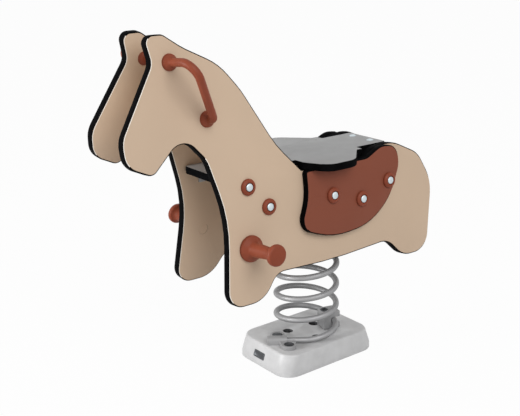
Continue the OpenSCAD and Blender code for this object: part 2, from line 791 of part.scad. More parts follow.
// Plate that closes the base from below and rests on the ground
module ground_plate() color(dark_steel) difference() {
    linear_extrude(steel_t) base_plan(base_ledge - rest_gap);
    anchor_places() translate([0, 0, -cut]) cylinder(h = steel_t + 2 * cut, d = anchor_hole_d);
    plate_screw_places() {
        hole(screw_d, -cut, steel_t + cut, hole_gap);
        hole(screw_head_d, -cut, screw_head_h, hole_gap);
    }
}
module ground_plate_screws() color(silver_colour) plate_screw_places() {
    translate([0, 0, rest_gap]) cylinder(h = screw_head_h - rest_gap, d = screw_head_d);
    translate([0, 0, screw_head_h]) cylinder(h = steel_t - screw_head_h + screw_grip - cut, d = screw_d);
}

// Spring's top plate and the brackets that join it to the panels
bracket_front_x = -44;
bracket_rear_x = 114;
bracket_top = 506;
foot_inner_y = 38;
bend_r = 3;
foot_bolts = [[5, 58], [90, 58]];
foot_head_d = 14;
foot_head_h = 6;
module spring_top_plate() color(dark_steel) difference() {
    translate([plate_shift, 0, plate_under]) linear_extrude(plate_t) polygon(rounded([
        [-plate_l / 2, -plate_w / 2, 10], [plate_l / 2, -plate_w / 2, 10],
        [plate_l / 2, plate_w / 2, 10], [-plate_l / 2, plate_w / 2, 10]
    ]));
    upper_end() end_threads(upper_end_bolts);
    upper_side_place() side_thread();
    for (s = [-1, 1]) for (p = foot_bolts)
        at([p[0], s * p[1]]) hole(small_bolt_d, plate_under - cut, plate_top + cut, thread_gap);
}
module spring_bracket() {
    inside = inner_y(plate_top + steel_t) - steel_t / cos(panel_splay);
    difference() {
        translate([bracket_front_x, 0, 0]) rotate([90, 0, 90]) linear_extrude(bracket_rear_x - bracket_front_x)
            polygon(rounded([
                [-inner_y(plate_top), plate_top, bend_r + steel_t],
                [-foot_inner_y, plate_top, 0],
                [-foot_inner_y, plate_top + steel_t, 0],
                [-inside, plate_top + steel_t, bend_r],
                concat(side_point(bracket_top, -inner_stack), [0]),
                concat(side_point(bracket_top, -panel_t), [0])
            ]));
        left_side() for (p = spring_bolts) at(p) hole(bolt_d, -inner_stack - cut, -panel_t + cut, hole_gap);
        for (p = foot_bolts) at([p[0], -p[1]]) hole(small_bolt_d, plate_top - cut, plate_top + steel_t + cut, hole_gap);
    }
}
module left_spring_bracket() color(dark_steel) spring_bracket();
module right_spring_bracket() color(dark_steel) mirror([0, 1, 0]) spring_bracket();
module foot_bolt_places() {
    for (s = [-1, 1]) for (p = foot_bolts) at([p[0], s * p[1]]) children();
}
module bracket_bolts() color(silver_colour) foot_bolt_places() {
    translate([0, 0, plate_top + steel_t]) cylinder(h = foot_head_h, d = foot_head_d);
    translate([0, 0, plate_under + cut]) cylinder(h = plate_t + steel_t - cut, d = small_bolt_d);
}

base_casting();
ground_plate();
ground_plate_screws();
lower_end_clamp();
lower_side_clamp();
lower_clamp_bolts();
spring();
upper_end_clamp();
upper_side_clamp();
upper_clamp_bolts();
spring_top_plate();
left_spring_bracket();
right_spring_bracket();
bracket_bolts();
left_panel();
right_panel();
left_saddle_flap();
right_saddle_flap();
seat_board();
seat_bolts();
seat_nuts();
rear_seat_bracket();
front_seat_bracket();
left_bolt_collars();
right_bolt_collars();
left_panel_bolts();
right_panel_bolts();
left_panel_nuts();
right_panel_nuts();
left_handle();
right_handle();
handle_bolts();
handle_bolt_caps();
left_foot_peg();
right_foot_peg();
peg_bolts();
peg_bolt_plugs();
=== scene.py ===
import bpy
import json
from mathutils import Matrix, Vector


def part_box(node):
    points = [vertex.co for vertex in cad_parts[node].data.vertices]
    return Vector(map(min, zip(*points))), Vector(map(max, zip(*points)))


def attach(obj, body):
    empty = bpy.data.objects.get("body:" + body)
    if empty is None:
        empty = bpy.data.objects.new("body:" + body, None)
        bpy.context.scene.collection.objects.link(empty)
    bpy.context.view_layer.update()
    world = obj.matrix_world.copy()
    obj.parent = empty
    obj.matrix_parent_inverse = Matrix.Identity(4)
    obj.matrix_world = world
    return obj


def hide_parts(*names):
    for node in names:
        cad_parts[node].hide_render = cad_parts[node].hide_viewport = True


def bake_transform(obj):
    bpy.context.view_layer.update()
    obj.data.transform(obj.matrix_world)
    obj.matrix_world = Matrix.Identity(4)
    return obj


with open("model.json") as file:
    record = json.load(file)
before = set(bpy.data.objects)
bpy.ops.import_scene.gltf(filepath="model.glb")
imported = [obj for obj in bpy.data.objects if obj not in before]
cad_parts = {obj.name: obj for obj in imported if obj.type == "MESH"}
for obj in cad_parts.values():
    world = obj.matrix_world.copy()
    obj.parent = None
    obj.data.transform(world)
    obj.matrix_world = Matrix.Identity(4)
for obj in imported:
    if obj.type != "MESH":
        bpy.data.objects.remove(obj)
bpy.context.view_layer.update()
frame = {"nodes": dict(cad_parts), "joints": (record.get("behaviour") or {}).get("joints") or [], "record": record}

import json
import math
from functools import wraps

import bmesh
import bpy
from bpy.props import FloatProperty, FloatVectorProperty, PointerProperty
from mathutils import Matrix, Vector

bl_info = {
    "name": "Spring rider",
    "version": (1, 0, 0),
    "blender": (4, 5, 0),
    "location": "View3D > Sidebar > Spring rider",
    "description": "Dresses the horse-shaped spring rider: boards, grips, fixings, spring, base and stage",
    "category": "Add Mesh",
}

# A millimetre in metres
MM = 0.001

# Heights and holes that the frame gives
SEAT_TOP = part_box("seat_board")[1].z
BASE_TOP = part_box("base_casting")[1].z
ROCK_Z = frame["joints"][0]["pos_m"][2]
ANCHOR_DIMS = next(mount["dims"] for mount in frame["record"]["mounts"] if mount["name"] == "anchor_holes")

# Both sides, with their signs along Y
SIDES = (("left", -1), ("right", 1))

# Lean, foot and thickness of the side boards and the flaps, as in the part's source
SPLAY = math.radians(5.9)
FOOT_Y = 0.152
BOARD_T = 0.022
FLAP_T = 0.019

# Places on a side board, along X and up the board
HANDLE_TOP = (-0.450, 0.8599)
HANDLE_LOW = (-0.3645, 0.7230)
PEG_AT = (-0.272, 0.396)
CHEST_BOLTS = ((-0.2655, 0.546), (-0.2075, 0.487))
FLAP_BOLTS = ((-0.0145, 0.481), (0.084, 0.453), (0.184, 0.4845))

# Places on the seat
SEAT_BOLTS = ((0.197, -0.034), (0.197, 0.034), (-0.215, -0.034), (-0.215, 0.034))

# Reach round a hole in which a board's edges stay sharp
HOLE_REACH = 0.017

# Handles, with the foot's flare as pairs of height over the board and share of the foot's radius
UPPER_BEND = 0.036
LOWER_BEND = 0.018
HANDLE_STEP = 0.0025
HANDLE_FLARE = (
    (0.0, 1.0), (0.002, 1.0), (0.0055, 0.95), (0.009, 0.82), (0.0115, 0.62), (0.0135, 0.53), (0.016, 0.5))

# Caps inside the head, with their hollow over the bolt
CAP_R = 0.0165
CAP_H = 0.011
CAP_HOLLOW_R = 0.0085
CAP_HOLLOW_H = 0.008

# Foot pegs: round foot, neck that tapers outwards, and knob
PEG_FOOT_R = 0.033
PEG_FOOT_T = 0.008
PEG_FLARE_H = 0.019
PEG_NECK_IN_R = 0.0185
PEG_NECK_OUT_R = 0.0145
PEG_KNOB_R = 0.0265
PEG_KNOB_L = 0.014
PEG_KNOB_FLARE = 0.008
PEG_KNOB_CROWN = 0.002

# Flush plugs over the pegs' bolts, with a fine groove in their face
PLUG_R = 0.014
PLUG_T = 0.003
PLUG_EDGE = 0.0004
PLUG_BACK_EDGE = 0.0003
GROOVE_R = 0.0107
GROOVE_HALF = 0.0005

# Collars, with a well that takes the bolt head
COLLAR_H = 0.009
COLLAR_WALL_H = 0.005
COLLAR_TOP_R = 0.015
WELL_R = 0.012
WELL_FLOOR = 0.005
COLLAR_BORE_R = 0.0055

# Bolts: shank, rim as radii and heights over the seat, and crown as radius, height and foot over the seat
BOLT_POINT = 0.001
SEAT_SHANK_R = 0.004
SEAT_SHANK_L = 0.035
SEAT_HEAD_RIM = ((0.0095, 0.0), (0.0095, 0.0008))
SEAT_HEAD_CROWN = (0.0092, 0.0032, 0.0008)
PANEL_SHANK_R = 0.005
PANEL_SHANK_L = 0.040
PANEL_HEAD_RIM = ((0.0098, 0.0), (0.0098, 0.0024), (0.0094, 0.0034))
PANEL_HEAD_CROWN = (0.0084, 0.0010, 0.0041)

# Spring's course, as in the part's source: coil, straight tails, and the dent at each side clamp
COIL_START = math.radians(-37.6)
COIL_TURNS = 4.625
COIL_LOW = 0.0674
TAIL_LOW = 0.105
TAIL_HIGH = 0.044
CLAMP_TURN = 0.3125
CLAMP_SPAN = 0.05
CLAMP_DENT = 0.0055

# Steps in a turn of the coil and in each tail
TURN_STEPS = 56
TAIL_LOW_STEPS = 12
TAIL_HIGH_STEPS = 6

# Heights given for each length of the spring
LOWER_BEND_Z = (0.070, ROCK_Z - 0.006)
UPPER_BEND_Z = (ROCK_Z + 0.014, 0.340)

# Sunk anchor holes: turn of the first, and the width and depth at which their painted shade starts
ANCHOR_START = math.radians(25)
SOCKET_R = 0.0142
SOCKET_DEPTH = 0.0015

# Blank plate on the base's leaning end: its rim is pairs of growth and height
BASE_LEAN = math.atan2(0.013, 0.038)
LABEL_AT = (-0.1581, 0.0090, 0.0295)
LABEL_HALF_W = 0.0220
LABEL_HALF_H = 0.0095
LABEL_CORNER = 0.003
LABEL_RIM = ((0.0, -0.0015), (0.0, 0.0009), (-0.0004, 0.0012), (-0.0030, 0.0012), (-0.0034, 0.0009))

# Floor
FLOOR_REACH = 30.0
FLOOR_DROP = 0.0004

# Most of an edge that one fillet may take, and the radius under which a turned ring is a point
FILLET_ROOM = 0.49
POLE_R = 1e-6

# Corners of a rectangle, turning left
QUARTERS = ((1, 1), (-1, 1), (-1, -1), (1, -1))


def colour_prop(name, description, default):
    return FloatVectorProperty(
        name=name, description=description, subtype="COLOR", size=3, min=0.0, max=1.0, default=default)


def length_prop(name, description, default):
    return FloatProperty(name=name, description=description, unit="LENGTH", min=0.0, default=default)


def place_prop(name, description, default):
    return FloatVectorProperty(
        name=name, description=description, subtype="XYZ", unit="LENGTH", size=3, default=default)


def angle_prop(name, description, degrees):
    return FloatProperty(name=name, description=description, subtype="ANGLE", default=math.radians(degrees))


def power_prop(name, description, default):
    return FloatProperty(name=name, description=description, unit="POWER", min=0.0, default=default)


class BoardSettings(bpy.types.PropertyGroup):
    """Colours and edges of the cut boards"""
    tan: colour_prop("Tan face", "Face of the side boards", (0.584, 0.440, 0.319))
    # Painted highlight: the pale tan rim stands in for the light that the boards' rounded front edges catch
    tan_highlight_rim: colour_prop("Tan rim", "Painted highlight on the side boards' front edges", (0.950, 0.900, 0.820))
    terracotta: colour_prop("Terracotta face", "Face of the saddle flaps", (0.212, 0.060, 0.033))
    terracotta_edge: colour_prop("Terracotta rim", "Cut rim of the flaps' faces", (0.190, 0.060, 0.038))
    grey: colour_prop("Grey face", "Face of the seat", (0.355, 0.355, 0.355))
    # Painted highlight: the lighter grey rim stands in for the light that the seat's rounded front edges catch
    grey_highlight_rim: colour_prop("Grey rim", "Painted highlight on the seat's front edges", (0.400, 0.400, 0.400))
    core: colour_prop("Core", "Black core at the cut edges, also painted as shade round the upper and lower edges", (0.0030, 0.0030, 0.0034))
    rounding: length_prop("Rounding", "Rounding between a face and the cut edge", 0.0030)
    seat_rounding: length_prop("Seat rounding", "Rounding of the seat, whose corners are tighter", 0.0020)


class GripSettings(bpy.types.PropertyGroup):
    """Handles, foot pegs, collars and caps"""
    colour: colour_prop("Terracotta", "Moulded handles, pegs, collars and caps", (0.230, 0.052, 0.025))
    bar: length_prop("Handle bar", "Diameter of the handle's bar", 0.0195)
    foot: length_prop("Handle foot", "Diameter of the handle's flared foot", 0.039)
    reach: length_prop("Handle reach", "Corner of the handle's upper bend over the board", 0.101)
    low: length_prop("Handle low bend", "Corner of the handle's lower bend over the board", 0.028)
    peg: length_prop("Foot peg", "Length of a foot peg from the board", 0.109)
    collar: length_prop("Collar", "Diameter of a bolt collar", 0.041)


class SpringSettings(bpy.types.PropertyGroup):
    """Coil spring, base and clamps"""
    wire: length_prop("Wire", "Diameter of the spring wire", 0.016)
    coil: length_prop("Coil", "Radius of the coil at the middle of its wire", 0.082)
    pitch: length_prop("Pitch", "Rise of the coil in one turn", 0.060)
    spring_coat: colour_prop("Spring coat", "Grey coat of the spring wire", (0.322, 0.322, 0.327))
    base_coat: colour_prop("Base coat", "Grey coat of the base", (0.550, 0.550, 0.554))
    # Painted shade: the clamps take the base's grey coat darkened, standing in for the shade round the spring
    clamp_coat: colour_prop("Clamp coat", "Grey of the spring clamps, darker than the base as painted shade", (0.290, 0.290, 0.294))
    base_edge: length_prop("Base edge", "Rounding of the base's edges", 0.0012)
    soft_edge: length_prop("Casting edge", "Rounding of the side clamps' cast edges", 0.0022)
    fine_edge: length_prop("Fine edge", "Rounding of the end clamps' thin rims", 0.0008)


class SteelSettings(bpy.types.PropertyGroup):
    """Bolts and brackets"""
    bright: colour_prop("Bright bolts", "Polished bolt heads", (0.580, 0.640, 0.665))
    zinc: colour_prop("Zinc", "Nuts, hidden bolts and screws", (0.560, 0.570, 0.590))
    galvanised: colour_prop("Galvanised steel", "Brackets and plates", (0.330, 0.340, 0.350))
    dark: colour_prop("Dark steel", "Clamp bolts", (0.080, 0.083, 0.088))
    # Painted shade: colour for the inside of the sunk anchor holes
    socket: colour_prop("Socket shade", "Painted shade in the sunk anchor holes", (0.095, 0.095, 0.098))
    folded_edge: length_prop("Steel edge", "Rounding of the brackets' and plates' edges", 0.0008)
    nut_edge: length_prop("Nut edge", "Rounding of nuts and inner bolts", 0.0006)
    bolt_edge: length_prop("Clamp bolt edge", "Rounding of the clamp bolts", 0.0009)


class StageSettings(bpy.types.PropertyGroup):
    """Camera, floor and light"""
    camera_at: place_prop("Camera", "Place of the camera", (-1.5380, -1.7931, 1.1584))
    azimuth: angle_prop("Azimuth", "Turn of the camera about the vertical", -37.63)
    elevation: angle_prop("Elevation", "Look of the camera downwards", 17.47)
    roll: angle_prop("Roll", "Roll of the camera", -0.82)
    lens: FloatProperty(
        name="Lens", description="Focal length in millimetres", unit="CAMERA", min=10.0, default=64.27)
    sensor: FloatProperty(
        name="Sensor", description="Width of the camera's sensor in millimetres", unit="CAMERA", min=1.0,
        default=36.0)
    floor: colour_prop("Floor", "Colour of the floor", (0.680, 0.680, 0.680))
    floor_white: FloatProperty(
        name="White share", description="Share of plain white in the floor's look", subtype="FACTOR",
        min=0.0, max=1.0, default=0.965)
    sky: FloatProperty(name="Sky", description="Strength of the even light", min=0.0, default=0.38)
    lamp_aim: place_prop("Lamp aim", "Point that both lamps shine at", (0.0, 0.0, 0.45))
    key: power_prop("Key", "Power of the key light", 117.0)
    key_at: place_prop("Key place", "Place of the key light", (-0.8, -3.6, 3.15))
    key_size: length_prop("Key size", "Diameter of the key light", 3.2)
    fill: power_prop("Fill", "Power of the fill light", 105.0)
    fill_at: place_prop("Fill place", "Place of the fill light", (-3.7, 1.1, 1.2))
    fill_size: length_prop("Fill size", "Diameter of the fill light", 1.6)


# Finishes


def set_inputs(node, **values):
    """Sets a node's inputs by name, with _ in place of a space."""
    for name, value in values.items():
        node.inputs[name.replace("_", " ")].default_value = value


class Finish:
    """A material with its shader and a few texture helpers, in metres of the part's own frame."""
    NOISE_SPAN = (0.3, 0.7)
    FULL_SPAN = (0.0, 1.0)

    def __init__(self, name):
        self.material = bpy.data.materials.new(name)
        self.material.use_nodes = True
        self.tree = self.material.node_tree
        self.shader = self.tree.nodes["Principled BSDF"]
        self.place = self.tree.nodes.new("ShaderNodeTexCoord").outputs["Object"]

    def node(self, kind, **values):
        """A new node with the named inputs set."""
        node = self.tree.nodes.new(kind)
        set_inputs(node, **values)
        return node

    def noise(self, scale, detail=2.0, stretch=(1.0, 1.0, 1.0)):
        """Soft noise, which a stretch under 1 draws out along that axis."""
        mapping = self.node("ShaderNodeMapping", Scale=stretch)
        node = self.node("ShaderNodeTexNoise", Scale=scale, Detail=detail)
        self.tree.links.new(self.place, mapping.inputs["Vector"])
        self.tree.links.new(mapping.outputs["Vector"], node.inputs["Vector"])
        return node.outputs["Fac"]

    def cells(self, scale):
        """Flat cells, each of its own shade."""
        node = self.node("ShaderNodeTexVoronoi", Scale=scale)
        self.tree.links.new(self.place, node.inputs["Vector"])
        return node.outputs["Color"]

    def spread(self, source, low, high, span):
        """Brings a texture's usual span to the span from low to high."""
        node = self.node(
            "ShaderNodeMapRange", From_Min=span[0], From_Max=span[1], To_Min=low, To_Max=high)
        self.tree.links.new(source, node.inputs["Value"])
        return node.outputs["Result"]

    def tint(self, source, colour, darker, lighter, span=NOISE_SPAN):
        """Lets the colour vary between a darker and a lighter share of itself."""
        node = self.tree.nodes.new("ShaderNodeMix")
        node.data_type = "RGBA"
        factor, first, second, mixed = node.inputs[0], node.inputs[6], node.inputs[7], node.outputs[2]
        first.default_value = [c * darker for c in colour] + [1.0]
        second.default_value = [min(1.0, c * lighter) for c in colour] + [1.0]
        self.tree.links.new(self.spread(source, 0.0, 1.0, span), factor)
        self.tree.links.new(mixed, self.shader.inputs["Base Color"])

    def rough(self, source, low, high, span=NOISE_SPAN):
        self.tree.links.new(self.spread(source, low, high, span), self.shader.inputs["Roughness"])

    def bump(self, source, strength, depth):
        node = self.node("ShaderNodeBump", Strength=strength, Distance=depth)
        self.tree.links.new(source, node.inputs["Height"])
        self.tree.links.new(node.outputs["Normal"], self.shader.inputs["Normal"])


def once(make):
    """Makes a material at the first use of its name, and finds it again after that."""
    @wraps(make)
    def found_or_made(name, colour, **values):
        return bpy.data.materials.get(name) or make(name, colour, **values)
    return found_or_made


@once
def board_face(name, colour):
    """Satin face of a board, faintly clouded, with a fine grain."""
    finish = Finish(name)
    finish.tint(finish.noise(5.0, detail=3.0), colour, darker=0.975, lighter=1.025)
    finish.rough(finish.noise(28.0, detail=4.0, stretch=(1.0, 1.0, 0.3)), low=0.42, high=0.54)
    finish.bump(finish.noise(900.0), strength=0.10, depth=0.0004)
    set_inputs(finish.shader, IOR=1.45, Specular_IOR_Level=0.25)
    return finish.material


@once
def board_core(name, colour):
    """Black core at a cut edge, dull, with the cutter's fine marks; on the upper and lower edges of a board it is
    also painted shade.
    """
    finish = Finish(name)
    finish.tint(finish.noise(60.0, detail=3.0), colour, darker=0.75, lighter=1.35)
    finish.rough(finish.noise(140.0), low=0.50, high=0.64)
    finish.bump(finish.noise(420.0, stretch=(1.0, 0.25, 1.0)), strength=0.12, depth=0.0004)
    set_inputs(finish.shader, IOR=1.45, Specular_IOR_Level=0.008)
    return finish.material


@once
def moulded(name, colour):
    """Moulded plastic of the grips, with a fine grain."""
    finish = Finish(name)
    finish.tint(finish.noise(22.0, detail=3.0), colour, darker=0.94, lighter=1.06)
    finish.rough(finish.noise(55.0, detail=3.0), low=0.40, high=0.52)
    finish.bump(finish.noise(1300.0), strength=0.10, depth=0.0003)
    set_inputs(finish.shader, IOR=1.48, Specular_IOR_Level=0.18)
    return finish.material


@once
def coated(name, colour, metallic, low_rough, high_rough):
    """Grey coat on steel and castings, slightly uneven."""
    finish = Finish(name)
    finish.tint(finish.noise(34.0, detail=4.0), colour, darker=0.93, lighter=1.06)
    finish.rough(finish.noise(60.0, detail=3.0), low_rough, high_rough)
    finish.bump(finish.noise(520.0), strength=0.16, depth=0.0005)
    set_inputs(finish.shader, IOR=1.5, Metallic=metallic)
    return finish.material


@once
def metal(name, colour, low_rough, high_rough):
    """Plain metal of bolts and nuts."""
    finish = Finish(name)
    finish.tint(finish.noise(90.0, detail=3.0), colour, darker=0.94, lighter=1.05)
    finish.rough(finish.noise(160.0), low_rough, high_rough)
    finish.bump(finish.noise(1500.0, detail=1.0), strength=0.05, depth=0.0002)
    set_inputs(finish.shader, Metallic=1.0)
    return finish.material


@once
def spangled(name, colour):
    """Galvanised steel with its spangle."""
    finish = Finish(name)
    spangle = finish.cells(110.0)
    finish.tint(spangle, colour, darker=0.80, lighter=1.20, span=Finish.FULL_SPAN)
    finish.rough(spangle, low=0.42, high=0.62, span=Finish.FULL_SPAN)
    finish.bump(finish.noise(700.0), strength=0.08, depth=0.0003)
    set_inputs(finish.shader, Metallic=0.85)
    return finish.material


def bright_bolts(steel):
    return metal("bright bolts", steel.bright, low_rough=0.42, high_rough=0.56)


def zinc_fixings(steel):
    return metal("zinc fixings", steel.zinc, low_rough=0.34, high_rough=0.50)


def galvanised(steel):
    return spangled("galvanised steel", steel.galvanised)


def dark_bolts(steel):
    return metal("dark clamp bolts", steel.dark, low_rough=0.34, high_rough=0.50)


# Painted shade: a near-black metal for the inside of the sunk anchor holes
def socket_shade(steel):
    return metal("bare socket", steel.socket, low_rough=0.50, high_rough=0.66)


def spring_coat(settings):
    """A coat with a metallic share, which mirrors the pale floor and the dark underside of the horse."""
    return coated("grey spring coat", settings.spring_coat, metallic=0.60, low_rough=0.50, high_rough=0.64)


def cast_coat(name, colour):
    """The satin coat of the base and the clamps."""
    return coated(name, colour, metallic=0.0, low_rough=0.34, high_rough=0.48)


# Places and courses


def side_frame(side):
    """From (along X, up the board, out of its face) to the part's frame. The left side is -1."""
    up = Vector((0.0, -side * math.sin(SPLAY), math.cos(SPLAY)))
    out = Vector((0.0, side * math.cos(SPLAY), math.sin(SPLAY)))
    place = Matrix.Identity(4)
    place.col[1][:3] = up
    place.col[2][:3] = out
    place.translation = (0.0, side * FOOT_Y, 0.0)
    return place


def board_spot(side, spot, lift=0.0):
    """Frame of a spot on a side board, lifted off its outer face."""
    return side_frame(side) @ Matrix.Translation((spot[0], spot[1], lift))


def anchor_places():
    """Middles of the base's anchor holes, from the diameter of their circle."""
    radius = ANCHOR_DIMS["pcd_mm"] / 2 * MM
    count = ANCHOR_DIMS["count"]
    turns = [ANCHOR_START + math.tau * k / count for k in range(count)]
    return [Vector((radius * math.cos(turn), radius * math.sin(turn))) for turn in turns]


def filleted(corners, steps):
    """Corners (a, b, radius) as points, with an arc at each corner that has a radius."""
    points = []
    for i, (a, b, radius) in enumerate(corners):
        here = Vector((a, b))
        if radius == 0 or i in (0, len(corners) - 1):
            points.append(here)
            continue
        before = Vector(corners[i - 1][:2]) - here
        after = Vector(corners[i + 1][:2]) - here
        room = FILLET_ROOM * min(before.length, after.length)
        before.normalize()
        after.normalize()
        half = before.angle(after) / 2
        reach = min(radius / math.tan(half), room)
        centre = here + (before + after).normalized() * reach / math.cos(half)
        first = here + before * reach - centre
        last = here + after * reach - centre
        sweep = math.atan2(first.x * last.y - first.y * last.x, first.dot(last))
        for k in range(steps + 1):
            turn = sweep * k / steps
            arm = Vector((
                first.x * math.cos(turn) - first.y * math.sin(turn),
                first.x * math.sin(turn) + first.y * math.cos(turn)))
            points.append(centre + arm)
    return points


def filleted_profile(corners, steps):
    """Corners (radius, height, fillet) as a profile for a turned shape."""
    return [(point.x, point.y) for point in filleted(corners, steps)]


def rounded_box(half_x, half_y, radius, steps=5):
    """Outline of a rectangle with round corners."""
    points = []
    for i, (sx, sy) in enumerate(QUARTERS):
        for k in range(steps + 1):
            turn = math.pi / 2 * (i + k / steps)
            x = sx * (half_x - radius) + radius * math.cos(turn)
            y = sy * (half_y - radius) + radius * math.sin(turn)
            points.append((x, y))
    return points


def even_course(points, step):
    """Points at an even step along a course."""
    lengths = [0.0]
    for a, b in zip(points, points[1:]):
        lengths.append(lengths[-1] + (b - a).length)
    count = max(2, round(lengths[-1] / step))
    found = []
    k = 0
    for i in range(count + 1):
        want = lengths[-1] * i / count
        while k < len(points) - 2 and lengths[k + 1] < want:
            k += 1
        span = lengths[k + 1] - lengths[k]
        found.append(points[k].lerp(points[k + 1], (want - lengths[k]) / span if span else 0.0))
    return found


def read_curve(curve, at):
    """Value of a curve of (place, value) pairs, level beyond its ends."""
    if at <= curve[0][0]:
        return curve[0][1]
    for (a, low), (b, high) in zip(curve, curve[1:]):
        if at <= b:
            return low + (high - low) * (at - a) / (b - a)
    return curve[-1][1]


def spring_course(settings):
    """Middle of the wire from the lower tail to the upper one, drawn in a little at each side clamp."""
    count = round(COIL_TURNS * TURN_STEPS)
    coil = []
    for i in range(count + 1):
        turn = COIL_TURNS * i / count
        angle = COIL_START + math.tau * turn
        near = min(abs(turn - CLAMP_TURN), abs(COIL_TURNS - turn - CLAMP_TURN))
        radius = settings.coil - CLAMP_DENT * math.exp(-(near / CLAMP_SPAN) ** 2)
        height = COIL_LOW + settings.pitch * turn
        coil.append(Vector((radius * math.sin(angle), -radius * math.cos(angle), height)))
    end = COIL_START + math.tau * COIL_TURNS
    inwards = Vector((math.cos(COIL_START), math.sin(COIL_START), 0.0))
    outwards = Vector((math.cos(end), math.sin(end), 0.0))
    low = [coil[0] - inwards * TAIL_LOW * (1 - k / TAIL_LOW_STEPS) for k in range(TAIL_LOW_STEPS)]
    high = [coil[-1] + outwards * TAIL_HIGH * k / TAIL_HIGH_STEPS for k in range(1, TAIL_HIGH_STEPS + 1)]
    return low + coil + high


# Shapes


def join_rings(bm, rings):
    """Faces between rings of points. A ring of one point is a pole."""
    for low, high in zip(rings, rings[1:]):
        for k in range(max(len(low), len(high))):
            places = ((low, k), (low, k + 1), (high, k + 1), (high, k))
            corners = [ring[i % len(ring)] for ring, i in places]
            bm.faces.new(list(dict.fromkeys(corners)))


def close_rings(bm, rings):
    """Faces between rings of points and a flat face at both ends."""
    join_rings(bm, rings)
    bm.faces.new(list(reversed(rings[0])))
    bm.faces.new(rings[-1])


def add_turned(bm, profile, place, sides=40):
    """A turned shape. Its profile is (radius, height) from pole to pole, or from a ring back to it."""
    rings = []
    for radius, height in profile:
        if radius < POLE_R:
            rings.append([bm.verts.new(place @ Vector((0.0, 0.0, height)))])
            continue
        turns = [math.tau * k / sides for k in range(sides)]
        rings.append([
            bm.verts.new(place @ Vector((radius * math.cos(turn), radius * math.sin(turn), height)))
            for turn in turns])
    join_rings(bm, rings)
    if len(rings[0]) > 1 and len(rings[-1]) > 1:
        join_rings(bm, [rings[-1], rings[0]])


def add_tube(bm, path, radii, sides=24):
    """A round bar along a path, closed at both ends."""
    rings = []
    across = None
    for i, point in enumerate(path):
        along = (path[min(i + 1, len(path) - 1)] - path[max(i - 1, 0)]).normalized()
        across = along.orthogonal() if across is None else across - along * across.dot(along)
        across.normalize()
        up = along.cross(across)
        turns = [math.tau * k / sides for k in range(sides)]
        rings.append([
            bm.verts.new(point + radii[i] * (math.cos(turn) * across + math.sin(turn) * up))
            for turn in turns])
    close_rings(bm, rings)


def dome(radius, height, foot, steps=8):
    """Profile of a cap from its rim to its pole, over the height of its foot."""
    ball = (radius * radius + height * height) / (2 * height)
    rim = math.asin(min(1.0, radius / ball))
    turns = [rim * (1 - k / steps) for k in range(steps + 1)]
    return [(ball * math.sin(turn), foot + height - ball + ball * math.cos(turn)) for turn in turns]


def bolt_profile(shank_r, shank_l, seat, rim, crown):
    """Profile of a bolt from its blunt point to the crown of its head, which sits at the seat's height."""
    point = [(0.0, -shank_l), (shank_r - BOLT_POINT, -shank_l), (shank_r, BOLT_POINT - shank_l)]
    head = [(shank_r, seat)] + [(r, seat + h) for r, h in rim]
    crown_r, crown_h, foot = crown
    return point + head + dome(crown_r, crown_h, seat + foot)


def add_cap(bm, place):
    """A domed cap that stands on a board's inner face, hollow over its bolt head."""
    hollow = [(0.0, CAP_HOLLOW_H), (CAP_HOLLOW_R, CAP_HOLLOW_H), (CAP_HOLLOW_R, 0.0)]
    shell = [(CAP_R, 0.0)] + dome(CAP_R, CAP_H, 0.0)[1:]
    add_turned(bm, hollow + shell, place @ Matrix.Scale(-1.0, 4, (0.0, 0.0, 1.0)))


def no_edge(edge):
    """Spares nothing."""
    return False


def inner_edge(edge):
    """Spares the edges in inner corners."""
    return not edge.is_convex


def softened(node, width, segments=2, spare=no_edge):
    """A copy of a solid's mesh with its sharp edges rounded, apart from the spared ones."""
    same_point = 2e-6
    flat = math.radians(0.6)
    sharp = math.radians(32.0)
    bm = bmesh.new()
    bm.from_mesh(frame["nodes"][node].data)
    bmesh.ops.remove_doubles(bm, verts=bm.verts, dist=same_point)
    bmesh.ops.dissolve_limit(
        bm, angle_limit=flat, use_dissolve_boundaries=False, verts=bm.verts, edges=bm.edges)
    edges = [
        edge for edge in bm.edges
        if len(edge.link_faces) == 2 and edge.calc_face_angle() > sharp and not spare(edge)]
    bmesh.ops.bevel(
        bm, geom=edges, offset=width, segments=segments, profile=0.5, affect="EDGES", clamp_overlap=False)
    return bm


def piece(name, bm, finishes, body, nodes=(), smooth=36.0):
    """Makes an object of the mesh, for the named solids and on the named body."""
    bmesh.ops.recalc_face_normals(bm, faces=bm.faces)
    mesh = bpy.data.meshes.new(name)
    bm.to_mesh(mesh)
    bm.free()
    for finish in finishes:
        mesh.materials.append(finish)
    mesh.shade_smooth()
    mesh.set_sharp_from_angle(angle=math.radians(smooth))
    obj = bpy.data.objects.new(name, mesh)
    bpy.context.scene.collection.objects.link(obj)
    if nodes:
        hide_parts(*nodes)
    if body:
        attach(obj, body)
    return obj


def edge_finish(look):
    """Number of a facet's finish among the face, the rim and the core, by where it looks.

    The core reaches further round the upper and lower edges as painted shade, and the rim shows only in front,
    where the side boards and the seat paint it paler as a highlight.
    """
    face, rim, core = range(3)
    face_from = 0.985
    flat = abs(look.z)
    if flat > face_from:
        return face
    way = look.xy.normalized()
    in_front = way.x < 0.1
    looks_down = way.y < -0.6
    looks_up = way.y > (0.75 if in_front else 0.3)
    core_from = 0.85 if in_front else 0.6
    # Painted shade: the rounding of edges that look up or down takes the black core
    if looks_down or looks_up or flat < core_from:
        return core
    # Painted highlight: the rim colour only on edges that face the front, towards the light
    return rim if in_front else face


